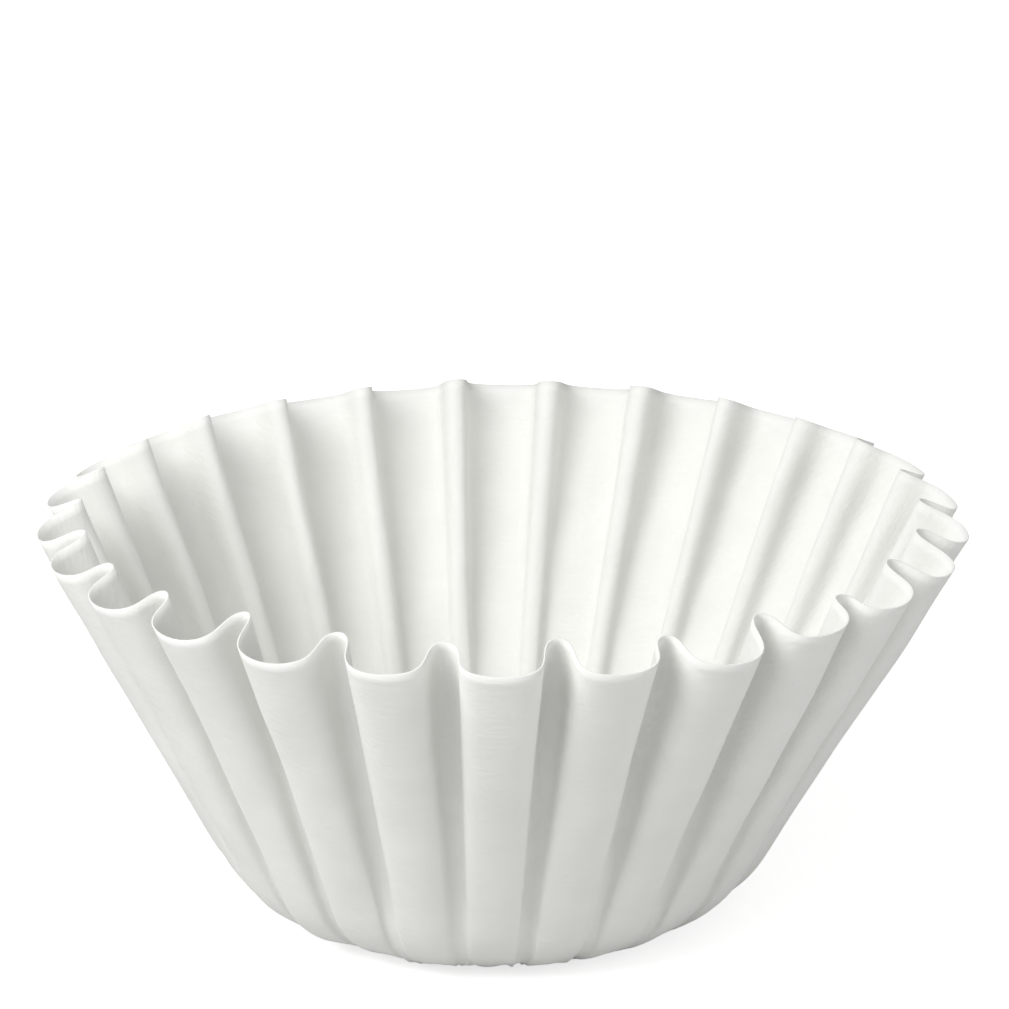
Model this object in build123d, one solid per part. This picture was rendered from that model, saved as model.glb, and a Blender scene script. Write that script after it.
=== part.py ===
from build123d import *
from functools import cache
import math
import os

# A basket coffee filter: one round sheet of thin paper, with a flat floor and a wall
# pleated into flutes all round. The paper isn't stretched or cut: at every distance from
# the floor the flutes are as deep as it takes to use up the circle of the flat sheet.
# The origin is the middle of the floor's underside, and +Z is up.

# Driving dimensions, in millimetres and radians.
base_diameter = 77.0  # where the slope of the wall would meet the floor plane
rim_diameter = 144.0  # over the crowns of the flutes
height = 62.0  # from the floor plane up to the rim, at the crowns
corner_radius = 20.0  # of the bend from the floor into the wall
paper_thickness = 0.2
flute_count = 26
crown_spread = 0.75  # 0 for crowns as wide as the grooves, towards 1 for wide crowns
flank_steepness = 0.7  # 0 for a plain wave, towards 1 for upright flanks
first_crown = -math.pi / 2  # direction of one crown, here -Y

# How finely the surfaces are described.
bend_levels = 4
wall_levels = 7
points_per_flute = 12
length_samples = 96
search_steps = 40
nudge = 0.0001  # the small step that a direction is measured over

flute_angle = 2 * math.pi / flute_count


class Profile:
    """The line half way between crowns and grooves, from the floor's edge to the rim."""

    def __init__(self, rim_radius, rim_height):
        run = rim_radius - base_diameter / 2
        self.slope = math.atan2(rim_height, run)
        setback = corner_radius * math.tan(self.slope / 2)
        self.floor_radius = base_diameter / 2 - setback
        self.bend = corner_radius * self.slope
        self.length = self.bend + math.hypot(run, rim_height) - setback

    def at(self, along):
        """Radius, height and slope at a distance along the paper from the floor's edge."""
        turn = min(max(along, 0) / corner_radius, self.slope)
        straight = along - turn * corner_radius
        across = corner_radius * math.sin(turn) + straight * math.cos(turn)
        level = corner_radius * (1 - math.cos(turn)) + straight * math.sin(turn)
        return self.floor_radius + across, level, turn


def wave_point(profile, along, depth, phase):
    """A point of the outer face. Phase is 0 on one crown and 1 on the next."""
    radius, level, slope = profile.at(along)
    full = 2 * math.pi * phase
    spread = crown_spread * math.sin(full) / (2 * math.pi)
    steepen = flank_steepness * math.sin(2 * full) / (4 * math.pi)
    angle = first_crown + flute_angle * (phase + spread + steepen)
    out = depth / 2 * math.cos(full)
    radius += out * math.sin(slope)
    level -= out * math.cos(slope)
    return Vector(radius * math.cos(angle), radius * math.sin(angle), level)


def flute_length(profile, along, depth):
    """Length of the paper in one flute, from crown to crown."""
    phases = [i / length_samples for i in range(length_samples + 1)]
    points = [wave_point(profile, along, depth, phase) for phase in phases]
    return sum((b - a).length for a, b in zip(points, points[1:]))


@cache
def flute_depth(profile, along):
    """The depth that takes up just the paper that the flat sheet has at this distance."""
    unpleated = flute_length(profile, along, 0)
    paper = unpleated * (profile.floor_radius + along) / profile.at(along)[0]
    shallow, deep = 0.0, paper
    for _ in range(search_steps):
        middle = (shallow + deep) / 2
        if flute_length(profile, along, middle) < paper:
            shallow = middle
        else:
            deep = middle
    return shallow


def settled_profile():
    """The profile whose crowns reach the rim's full diameter and height."""
    profile = Profile(rim_diameter / 2, height)
    for _ in range(search_steps):
        half = flute_depth(profile, profile.length) / 2
        rim_radius = rim_diameter / 2 - half * math.sin(profile.slope)
        profile = Profile(rim_radius, height + half * math.cos(profile.slope))
    return profile


profile = settled_profile()


def paper_point(along, phase, inward):
    """A point on the outer face, or that far in from it, square to the paper."""
    depth = flute_depth(profile, along)
    here = wave_point(profile, along, depth, phase)
    beside = wave_point(profile, along, depth, phase + nudge)
    higher = wave_point(profile, along + nudge, flute_depth(profile, along + nudge), phase)
    return here + (higher - here).cross(beside - here).normalized() * inward


def flute_line(along, inward):
    """One flute's line at a distance up the paper, from crown to crown."""
    phases = [i / points_per_flute for i in range(points_per_flute + 1)]
    points = [paper_point(along, phase, inward) for phase in phases]
    directions = []
    for phase in (phases[0], phases[-1]):
        before = paper_point(along, phase - nudge, inward)
        after = paper_point(along, phase + nudge, inward)
        directions.append((after - before) / (2 * nudge))
    return Edge.make_spline(points, tangents=directions, parameters=phases, scale=False)


def ring(along, inward):
    """The whole line round the filter at a distance up the paper."""
    flute = flute_line(along, inward)
    turn = math.degrees(flute_angle)
    return Wire([flute.rotate(Axis.Z, i * turn) for i in range(flute_count)])


def skin(inward):
    """The faces of the bend and the wall on one side of the paper."""
    bend = [profile.bend * i / bend_levels for i in range(bend_levels)]
    rise = (profile.length - profile.bend) / wall_levels
    wall = [profile.bend + rise * i for i in range(wall_levels + 1)]
    return Shell.make_loft([ring(along, inward) for along in bend + wall]).faces()


def cut_edge():
    """The faces of the sheet's cut edge, round the rim."""
    outside = ring(profile.length, 0)
    inside = ring(profile.length, paper_thickness)
    return Shell.make_loft([outside, inside], ruled=True).faces()


def filter_sheet():
    """The whole sheet as one solid: two skins, the floor's two faces and the cut edge."""
    floor = [Face(ring(0, 0)), Face(ring(0, paper_thickness))]
    return Solid(Shell(skin(0) + skin(paper_thickness) + cut_edge() + floor))


sheet = filter_sheet()
sheet.label = "fluted_filter"
flat_diameter = 2 * (profile.floor_radius + profile.length)
print(f"flat sheet {flat_diameter:.1f} mm across")
print(f"floor {2 * profile.floor_radius:.1f} mm across, wall {math.degrees(profile.slope):.1f} degrees")
print(f"flutes {flute_depth(profile, profile.length):.2f} mm deep at the rim")

os.makedirs("parts", exist_ok=True)
export_step(sheet, "parts/fluted_filter.step")
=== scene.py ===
import math

import bmesh
import bpy
from bpy.props import FloatProperty, FloatVectorProperty, IntProperty, PointerProperty
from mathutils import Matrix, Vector, noise


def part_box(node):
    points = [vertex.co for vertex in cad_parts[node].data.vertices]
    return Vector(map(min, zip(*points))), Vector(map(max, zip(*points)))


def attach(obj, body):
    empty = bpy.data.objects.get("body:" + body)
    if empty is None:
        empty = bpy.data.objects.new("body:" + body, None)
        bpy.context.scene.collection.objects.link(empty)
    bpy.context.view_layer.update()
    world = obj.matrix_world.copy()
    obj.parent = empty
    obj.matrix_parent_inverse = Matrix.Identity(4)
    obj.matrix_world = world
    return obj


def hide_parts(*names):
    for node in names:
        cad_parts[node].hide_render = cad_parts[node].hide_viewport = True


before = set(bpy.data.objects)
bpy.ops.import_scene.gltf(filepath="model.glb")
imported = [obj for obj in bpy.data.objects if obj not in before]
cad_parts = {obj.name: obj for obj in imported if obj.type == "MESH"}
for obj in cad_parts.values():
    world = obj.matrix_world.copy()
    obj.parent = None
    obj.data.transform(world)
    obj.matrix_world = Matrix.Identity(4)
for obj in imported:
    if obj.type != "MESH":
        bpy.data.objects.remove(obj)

bl_info = {
    "name": "Fluted Basket Filter",
    "version": (1, 0, 0),
    "blender": (4, 5, 0),
    "location": "View3D > Sidebar > Filter",
    "description": "Presses a round sheet of filter paper into a fluted basket filter",
    "category": "Add Mesh",
}

NODE = "fluted_filter"
LOW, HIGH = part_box(NODE)
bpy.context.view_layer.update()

# Lengths are in metres and angles in radians.

# The mesh: how many segments one flute has, and how many rings each part of the sheet has.
SEGMENTS_PER_FLUTE = 30
FLOOR_RINGS = 8
BEND_RINGS = 16
WALL_RINGS = 32
BEND_REACH = 0.026

# The floor's faint swell: its height, its grain, and how wide its edge stays flat.
SWELL = 0.00012
SWELL_GRAIN = 45
SWELL_EDGE = 0.004

# Noise of the uneven paper: steps in each flute, steps up the wall, and seed.
SLOW_WANDER = (0.55, 0.4, 3.7)
QUICK_WANDER = (1.3, 3.2, 67.1)
UNEVEN_DEPTH = (0.9, 0.8, 11.3)
UNEVEN_SPREAD = (1.1, 1.0, 23.9)
SOFT_DENTS = (2.3, 3.0, 31.1)
FINE_DENTS = (6.0, 8.0, 71.9)
SOFT_PUCKERS = (5.0, 9.0, 41.7)
FINE_PUCKERS = (9.0, 20.0, 53.3)
CUT_EDGE = (1.7, 1, 83.3)

# How high the dents are, and how far the cut edge rises and falls.
SOFT_DENT = 0.0006
FINE_DENT = 0.00022
EDGE_RISE = 0.0005

# How far from the floor's edge the dents reach their full height, and where the puckers lie.
DENT_START = 0.012
PUCKER_MIDDLE = 0.006
PUCKER_REACH = 0.009

# The paper's grain: noise scales on the flat sheet, and how high the bump stands.
CLOUD_GRAIN = 160.0
FIBRE_GRAIN = 1800.0
CREPE_GRAIN = 420.0
CREPE_STRETCH = (1.0, 3.0, 1.0)
BUMP_HEIGHT = 0.0002

# What the camera looks at: a point by the middle of the rim's crowns.
RIM_MIDDLE = (0, 0, 0.062)
AIM_RIGHT = 0.0004
AIM_UP = 0.0023
SENSOR_WIDTH = 36
NEAR_CLIP = 0.01

# Lamps and floor.
LAMP_TARGET = (0, 0, 0.03)
KEY_PLACE = (-0.45, -0.42, 0.6)
KEY_SIZE = 0.6
FILL_PLACE = (0.6, -0.4, 0.3)
FILL_SIZE = 0.5
FLOOR_SIZE = 3.0
FLOOR_GAP = 0.00005
FLOOR_COLOUR = (0.65, 0.65, 0.65, 1)
FLOOR_GLOW = 0.7
WHITE = (1, 1, 1, 1)


class FilterSheetSettings(bpy.types.PropertyGroup):
    """Sizes and colours of the filter's paper"""

    rim_radius: FloatProperty(
        name="Rim radius",
        description="From the middle to the crowns of the flutes at the rim",
        default=HIGH[1],
        unit="LENGTH",
    )
    groove_height: FloatProperty(
        name="Height at the grooves",
        description="From the floor up to the rim, at the grooves between the flutes",
        default=HIGH[2],
        unit="LENGTH",
    )
    base_radius: FloatProperty(
        name="Base radius",
        description="Where the slope of the wall would meet the floor plane",
        default=0.0385,
        unit="LENGTH",
    )
    corner_radius: FloatProperty(
        name="Corner radius",
        description="Bend from the floor into the wall",
        default=0.020,
        unit="LENGTH",
    )
    thickness: FloatProperty(
        name="Paper thickness",
        description="Thickness of the sheet",
        default=0.0002,
        unit="LENGTH",
        precision=5,
    )
    flute_count: IntProperty(name="Flutes", description="Flutes round the wall", default=26)
    crown_spread: FloatProperty(
        name="Crown spread",
        description="0 for crowns as wide as the grooves, towards 1 for wide crowns",
        default=0.75,
        subtype="FACTOR",
    )
    flank_steepness: FloatProperty(
        name="Flank steepness",
        description="0 for a plain wave, towards 1 for upright flanks",
        default=0.7,
        subtype="FACTOR",
    )
    unevenness: FloatProperty(
        name="Unevenness",
        description="How much the flutes differ from each other",
        default=1.0,
        subtype="FACTOR",
    )
    pucker: FloatProperty(
        name="Pucker height",
        description="Height of the small puckers where the floor bends into the wall",
        default=0.0006,
        unit="LENGTH",
        precision=5,
    )
    lean: FloatProperty(
        name="Lean",
        description="How far the foot lies to the left of the rim",
        default=0.0016,
        unit="LENGTH",
    )
    paper: FloatVectorProperty(
        name="Paper colour",
        description="Colour of the paper where it is densest",
        default=(0.80, 0.80, 0.775),
        subtype="COLOR",
    )
    thin_paper: FloatVectorProperty(
        name="Thin paper colour",
        description="Colour of the paper's thinner clouds",
        default=(0.74, 0.74, 0.715),
        subtype="COLOR",
    )


class FilterStageSettings(bpy.types.PropertyGroup):
    """Camera, lamps and floor"""

    camera_distance: FloatProperty(
        name="Camera distance",
        description="From the camera to the middle of the rim",
        default=0.678,
        unit="LENGTH",
    )
    camera_elevation: FloatProperty(
        name="Camera elevation",
        description="How far the camera looks down",
        default=math.radians(18.2),
        subtype="ANGLE",
    )
    lens: FloatProperty(
        name="Lens", description="Focal length in millimetres for a 36 mm sensor", default=155.8
    )
    key_power: FloatProperty(
        name="Key lamp", description="Power of the large soft lamp", default=6.6, unit="POWER"
    )
    fill_power: FloatProperty(
        name="Fill lamp", description="Power of the soft lamp opposite", default=1.3, unit="POWER"
    )
    sky: FloatProperty(
        name="Sky", description="Strength of the even light from all round", default=0.42
    )


# The shape of the paper.


class Pleats:
    """Where each point of the flat round sheet lies once the sheet is pressed."""

    samples = 48
    search_steps = 30

    def __init__(self, settings):
        self.s = settings
        self.flute_angle = 2 * math.pi / settings.flute_count
        self.depths = {}
        if settings.base_radius >= settings.rim_radius:
            raise ValueError("The base has to be narrower than the rim")
        rim_radius, rim_height = settings.rim_radius, settings.groove_height
        for _ in range(self.search_steps):
            self.set_profile(rim_radius, rim_height)
            half = self.depth(self.length) / 2
            rim_radius = settings.rim_radius - half * math.sin(self.slope)
            rim_height = settings.groove_height - half * math.cos(self.slope)

    def set_profile(self, rim_radius, rim_height):
        """Sets the line half way between crowns and grooves."""
        run = rim_radius - self.s.base_radius
        self.slope = math.atan2(rim_height, run)
        setback = self.s.corner_radius * math.tan(self.slope / 2)
        self.floor_radius = self.s.base_radius - setback
        self.bend = self.s.corner_radius * self.slope
        self.length = self.bend + math.hypot(run, rim_height) - setback
        self.depths.clear()

    def profile(self, along):
        """Radius, height and slope at a distance along the paper from the floor's edge."""
        turn = min(max(along, 0) / self.s.corner_radius, self.slope)
        straight = along - turn * self.s.corner_radius
        across = self.s.corner_radius * math.sin(turn) + straight * math.cos(turn)
        level = self.s.corner_radius * (1 - math.cos(turn)) + straight * math.sin(turn)
        return self.floor_radius + across, level, turn

    def wave(self, along, depth, flute, spread=None):
        """A point of the outer face. Flute is a whole number on each crown."""
        radius, level, slope = self.profile(along)
        full = 2 * math.pi * flute
        spread = self.s.crown_spread if spread is None else spread
        turn = flute + spread * math.sin(full) / (2 * math.pi)
        turn += self.s.flank_steepness * math.sin(2 * full) / (4 * math.pi)
        angle = turn * self.flute_angle - math.pi / 2
        out = depth / 2 * math.cos(full)
        radius += out * math.sin(slope)
        return Vector(
            (radius * math.cos(angle), radius * math.sin(angle), level - out * math.cos(slope))
        )

    def depth(self, along):
        """The depth that takes up just the paper that the flat sheet has at this distance."""
        key = round(along, 7)
        if key not in self.depths:
            radius = self.profile(along)[0]
            paper = self.flute_length(along, 0) * (self.floor_radius + along) / radius
            shallow, deep = 0.0, paper
            for _ in range(self.search_steps):
                middle = (shallow + deep) / 2
                if self.flute_length(along, middle) < paper:
                    shallow = middle
                else:
                    deep = middle
            self.depths[key] = shallow
        return self.depths[key]

    def flute_length(self, along, depth):
        """Length of the paper from one crown to the next."""
        points = [self.wave(along, depth, i / self.samples) for i in range(self.samples + 1)]
        return sum((b - a).length for a, b in zip(points, points[1:]))


def round_noise(flute, along, per_flute, per_length, seed, count):
    """Smooth noise from -1 to 1 that closes on itself round the filter."""
    angle = 2 * math.pi * flute / count
    reach = per_flute * count / (2 * math.pi)
    place = (reach * math.cos(angle) + seed, reach * math.sin(angle), along * per_length + seed)
    return noise.noise(Vector(place))


def pressed_floor(settings, rho, theta):
    """The place of a point of the floor, which swells a little inside its edge."""
    x, y = rho * math.cos(theta), rho * math.sin(theta)
    return x - settings.lean, y, SWELL * (1 + noise.noise(Vector((x, y, 0)) * SWELL_GRAIN))


def pressed(pleats, rho, theta):
    """The pressed place of the flat sheet's point at radius rho and angle theta."""
    s = pleats.s
    along = rho - pleats.floor_radius
    if along <= 0:
        x, y, swell = pressed_floor(s, rho, theta)
        return Vector((x, y, swell * min(1, -along / SWELL_EDGE)))
    flute = (theta + math.pi / 2) / pleats.flute_angle
    share = along / pleats.length

    def uneven(per_flute, per_length, seed):
        return round_noise(flute, share, per_flute, per_length, seed, s.flute_count)

    # The flutes differ in direction, depth and width.
    wander = 0.13 * uneven(*SLOW_WANDER) + 0.05 * uneven(*QUICK_WANDER)
    deeper = 1 + 0.22 * uneven(*UNEVEN_DEPTH) * s.unevenness
    spread = s.crown_spread + 0.16 * uneven(*UNEVEN_SPREAD) * s.unevenness
    turned = flute + wander * s.unevenness * share
    place = pleats.wave(along, pleats.depth(along) * deeper, turned, spread)
    # Soft dents lie in the crowns and flanks, and small puckers in the bend.
    slope = pleats.profile(along)[2]
    outward = Vector((place.x, place.y, 0)).normalized()
    normal = outward * math.sin(slope) - Vector((0, 0, math.cos(slope)))
    dent = SOFT_DENT * uneven(*SOFT_DENTS) + FINE_DENT * uneven(*FINE_DENTS)
    dent *= min(1, along / DENT_START)
    fade = max(0, 1 - abs(along - PUCKER_MIDDLE) / PUCKER_REACH)
    fade = fade * fade * (3 - 2 * fade)
    pucker = uneven(*SOFT_PUCKERS) + 0.5 * uneven(*FINE_PUCKERS)
    place += normal * (dent * s.unevenness + s.pucker * pucker * fade)
    # The foot leans to the left, and the cut edge rises and falls a little.
    place.x -= s.lean * (1 - place.z / s.groove_height)
    edge = round_noise(flute, 0, *CUT_EDGE, s.flute_count)
    place.z += EDGE_RISE * edge * s.unevenness * share**3
    place.z = max(place.z, 0)
    return place


def flat_sheet(pleats):
    """The flat round sheet as rings of quads, from its middle out to its cut edge."""
    start = pleats.floor_radius + BEND_REACH
    wall = pleats.length - BEND_REACH
    radii = [pleats.floor_radius * (i + 1) / FLOOR_RINGS for i in range(FLOOR_RINGS)]
    radii += [pleats.floor_radius + BEND_REACH * (i + 1) / BEND_RINGS for i in range(BEND_RINGS)]
    radii += [start + wall * (i + 1) / WALL_RINGS for i in range(WALL_RINGS)]
    mesh = bmesh.new()
    segments = SEGMENTS_PER_FLUTE * pleats.s.flute_count
    bmesh.ops.create_circle(mesh, cap_ends=True, segments=segments, radius=radii[0])
    rim = [edge for edge in mesh.edges if edge.is_boundary]
    for inner, outer in zip(radii, radii[1:]):
        grown = bmesh.ops.extrude_edge_only(mesh, edges=rim)["geom"]
        verts = [item for item in grown if isinstance(item, bmesh.types.BMVert)]
        scale = outer / inner
        bmesh.ops.scale(mesh, vec=(scale, scale, 1), verts=verts)
        rim = [item for item in grown if isinstance(item, bmesh.types.BMEdge)]
        rim = [edge for edge in rim if edge.is_boundary]
    bmesh.ops.recalc_face_normals(mesh, faces=mesh.faces)
    return mesh


# Shader maths.


class Socket:
    """A shader socket that Python's operators work on."""

    def __init__(self, tree, socket):
        self.tree = tree
        self.socket = socket

    def _math(self, operation, first, second):
        node = self.tree.nodes.new("ShaderNodeMath")
        node.operation = operation
        for slot, value in zip(node.inputs, (first, second)):
            if isinstance(value, Socket):
                self.tree.links.new(value.socket, slot)
            else:
                slot.default_value = value
        return Socket(self.tree, node.outputs[0])

    def __add__(self, other):
        return self._math("ADD", self, other)

    __radd__ = __add__

    def __mul__(self, other):
        return self._math("MULTIPLY", self, other)

    __rmul__ = __mul__


class Shader:
    """A material's or world's node tree, and the one way nodes are added to it."""

    def __init__(self, owner):
        owner.use_nodes = True
        self.tree = owner.node_tree
        self.tree.nodes.clear()

    def node(self, kind, settings=None, values=None, output=0):
        """Adds a node, sets it, feeds its sockets and returns one output."""
        node = self.tree.nodes.new(kind)
        for name, value in (settings or {}).items():
            setattr(node, name, value)
        for name, value in (values or {}).items():
            if isinstance(value, Socket):
                self.tree.links.new(value.socket, node.inputs[name])
            else:
                node.inputs[name].default_value = value
        return Socket(self.tree, node.outputs[output]) if len(node.outputs) else None


def rgba(colour):
    """A colour with full alpha."""
    return (*colour, 1.0)


def paper_material(settings):
    """Uncoated filter paper: cloudy off-white, with fine crepe and fibres in its surface."""
    material = bpy.data.materials.new("filter_paper")
    shader = Shader(material)
    flat = shader.node("ShaderNodeUVMap", {"uv_map": "flat_sheet"})
    clouds = shader.node(
        "ShaderNodeTexNoise", {}, {"Vector": flat, "Scale": CLOUD_GRAIN, "Detail": 4.0}
    )
    colour = shader.node(
        "ShaderNodeMix",
        {"data_type": "RGBA"},
        {6: rgba(settings.thin_paper), 7: rgba(settings.paper), 0: clouds},
        output=2,
    )
    fibres = shader.node(
        "ShaderNodeTexNoise", {}, {"Vector": flat, "Scale": FIBRE_GRAIN, "Detail": 3.0}
    )
    creped = shader.node("ShaderNodeMapping", {}, {"Vector": flat, "Scale": CREPE_STRETCH})
    crepe = shader.node(
        "ShaderNodeTexNoise", {}, {"Vector": creped, "Scale": CREPE_GRAIN, "Detail": 3.0}
    )
    bump = shader.node(
        "ShaderNodeBump",
        {},
        {"Strength": 0.6, "Distance": BUMP_HEIGHT, "Height": fibres * 0.4 + crepe * 0.8},
    )
    surface = shader.node(
        "ShaderNodeBsdfPrincipled",
        {},
        {
            "Base Color": colour,
            "Roughness": clouds * 0.08 + 0.84,
            "Specular IOR Level": 0.25,
            "Normal": bump,
        },
    )
    shader.node("ShaderNodeOutputMaterial", {}, {"Surface": surface})
    return material


class FILTER_OT_sheet(bpy.types.Operator):
    """Press the round sheet of filter paper into its cup"""

    bl_idname = "filter.sheet"
    bl_label = "Filter Sheet"

    def execute(self, context):
        settings = context.scene.filter_sheet
        pleats = Pleats(settings)
        mesh = flat_sheet(pleats)
        uv = mesh.loops.layers.uv.new("flat_sheet")
        for face in mesh.faces:
            for loop in face.loops:
                loop[uv].uv = loop.vert.co.xy
            face.smooth = True
        for vert in mesh.verts:
            rho, theta = vert.co.xy.length, math.atan2(vert.co.y, vert.co.x)
            vert.co = pressed(pleats, rho, theta)
        bmesh.ops.recalc_face_normals(mesh, faces=mesh.faces)
        data = bpy.data.meshes.new("paper_sheet")
        mesh.to_mesh(data)
        mesh.free()
        sheet = bpy.data.objects.new("paper_sheet", data)
        context.scene.collection.objects.link(sheet)
        wall = sheet.modifiers.new("Paper thickness", "SOLIDIFY")
        wall.thickness = settings.thickness
        wall.offset = -1
        data.materials.append(paper_material(settings))
        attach(sheet, "root")
        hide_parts(NODE)
        return {"FINISHED"}


def area_lamp(name, place, size, power, context):
    """Adds a soft round lamp that points at the filter."""
    lamp = bpy.data.lights.new(name, "AREA")
    lamp.shape = "DISK"
    lamp.size = size
    lamp.energy = power
    lamp_object = bpy.data.objects.new(name, lamp)
    lamp_object.location = place
    ray = Vector(LAMP_TARGET) - Vector(place)
    lamp_object.rotation_euler = ray.to_track_quat("-Z", "Y").to_euler()
    context.scene.collection.objects.link(lamp_object)


class FILTER_OT_stage(bpy.types.Operator):
    """Add the floor, the lamps, the sky and the camera"""

    bl_idname = "filter.stage"
    bl_label = "Stage"

    def execute(self, context):
        settings = context.scene.filter_stage
        # Camera
        camera = bpy.data.cameras.new("camera")
        camera.sensor_width = SENSOR_WIDTH
        camera.lens = settings.lens
        camera_object = bpy.data.objects.new("camera", camera)
        elevation = settings.camera_elevation
        away = Vector((0, -math.cos(elevation), math.sin(elevation)))
        up = Vector((0, math.sin(elevation), math.cos(elevation)))
        aim = Vector(RIM_MIDDLE) + Vector((AIM_RIGHT, 0, 0)) + up * AIM_UP
        camera_object.location = aim + away * settings.camera_distance
        camera_object.rotation_euler = (math.pi / 2 - elevation, 0, 0)
        camera.clip_start = NEAR_CLIP
        context.scene.collection.objects.link(camera_object)
        context.scene.camera = camera_object
        # Lamps
        area_lamp("key", KEY_PLACE, KEY_SIZE, settings.key_power, context)
        area_lamp("fill", FILL_PLACE, FILL_SIZE, settings.fill_power, context)
        # Floor
        mesh = bmesh.new()
        bmesh.ops.create_grid(mesh, x_segments=1, y_segments=1, size=FLOOR_SIZE)
        data = bpy.data.meshes.new("floor")
        mesh.to_mesh(data)
        mesh.free()
        floor = bpy.data.objects.new("floor", data)
        floor.location.z = LOW[2] - FLOOR_GAP
        context.scene.collection.objects.link(floor)
        data.materials.append(self.floor_material())
        self.sky(context, settings.sky)
        context.scene.view_settings.view_transform = "Standard"
        return {"FINISHED"}

    def floor_material(self):
        """Matt grey, lifted to plain white where the camera sees it lit."""
        material = bpy.data.materials.new("floor_white")
        shader = Shader(material)
        surface = shader.node("ShaderNodeBsdfDiffuse", {}, {"Color": FLOOR_COLOUR})
        seen = shader.node("ShaderNodeLightPath", output="Is Camera Ray")
        glow = shader.node(
            "ShaderNodeEmission", {}, {"Color": WHITE, "Strength": seen * FLOOR_GLOW}
        )
        both = shader.node("ShaderNodeAddShader", {}, {0: surface, 1: glow})
        shader.node("ShaderNodeOutputMaterial", {}, {"Surface": both})
        return material

    def sky(self, context, strength):
        """White where the camera looks past the floor, and softer as a light."""
        world = bpy.data.worlds.new("sky")
        context.scene.world = world
        shader = Shader(world)
        seen = shader.node("ShaderNodeLightPath", output="Is Camera Ray")
        seen = seen + shader.node("ShaderNodeLightPath", output="Is Glossy Ray")
        seen = seen + shader.node("ShaderNodeLightPath", output="Is Transmission Ray")
        background = shader.node(
            "ShaderNodeBackground",
            {},
            {"Color": WHITE, "Strength": seen * (1 - strength) + strength},
        )
        shader.node("ShaderNodeOutputWorld", {}, {"Surface": background})


class FILTER_PT_panel(bpy.types.Panel):
    """The filter's settings and operators"""

    bl_idname = "FILTER_PT_panel"
    bl_label = "Basket Filter"
    bl_space_type = "VIEW_3D"
    bl_region_type = "UI"
    bl_category = "Filter"

    def draw(self, context):
        for settings in (context.scene.filter_sheet, context.scene.filter_stage):
            for name in settings.__annotations__:
                self.layout.prop(settings, name)
        self.layout.operator(FILTER_OT_sheet.bl_idname)
        self.layout.operator(FILTER_OT_stage.bl_idname)


CLASSES = (
    FilterSheetSettings,
    FilterStageSettings,
    FILTER_OT_sheet,
    FILTER_OT_stage,
    FILTER_PT_panel,
)


def register():
    for cls in CLASSES:
        bpy.utils.register_class(cls)
    bpy.types.Scene.filter_sheet = PointerProperty(type=FilterSheetSettings)
    bpy.types.Scene.filter_stage = PointerProperty(type=FilterStageSettings)


def unregister():
    del bpy.types.Scene.filter_stage
    del bpy.types.Scene.filter_sheet
    for cls in reversed(CLASSES):
        bpy.utils.unregister_class(cls)


def main():
    register()
    bpy.ops.filter.stage()
    bpy.ops.filter.sheet()


if __name__ == "__main__":
    main()
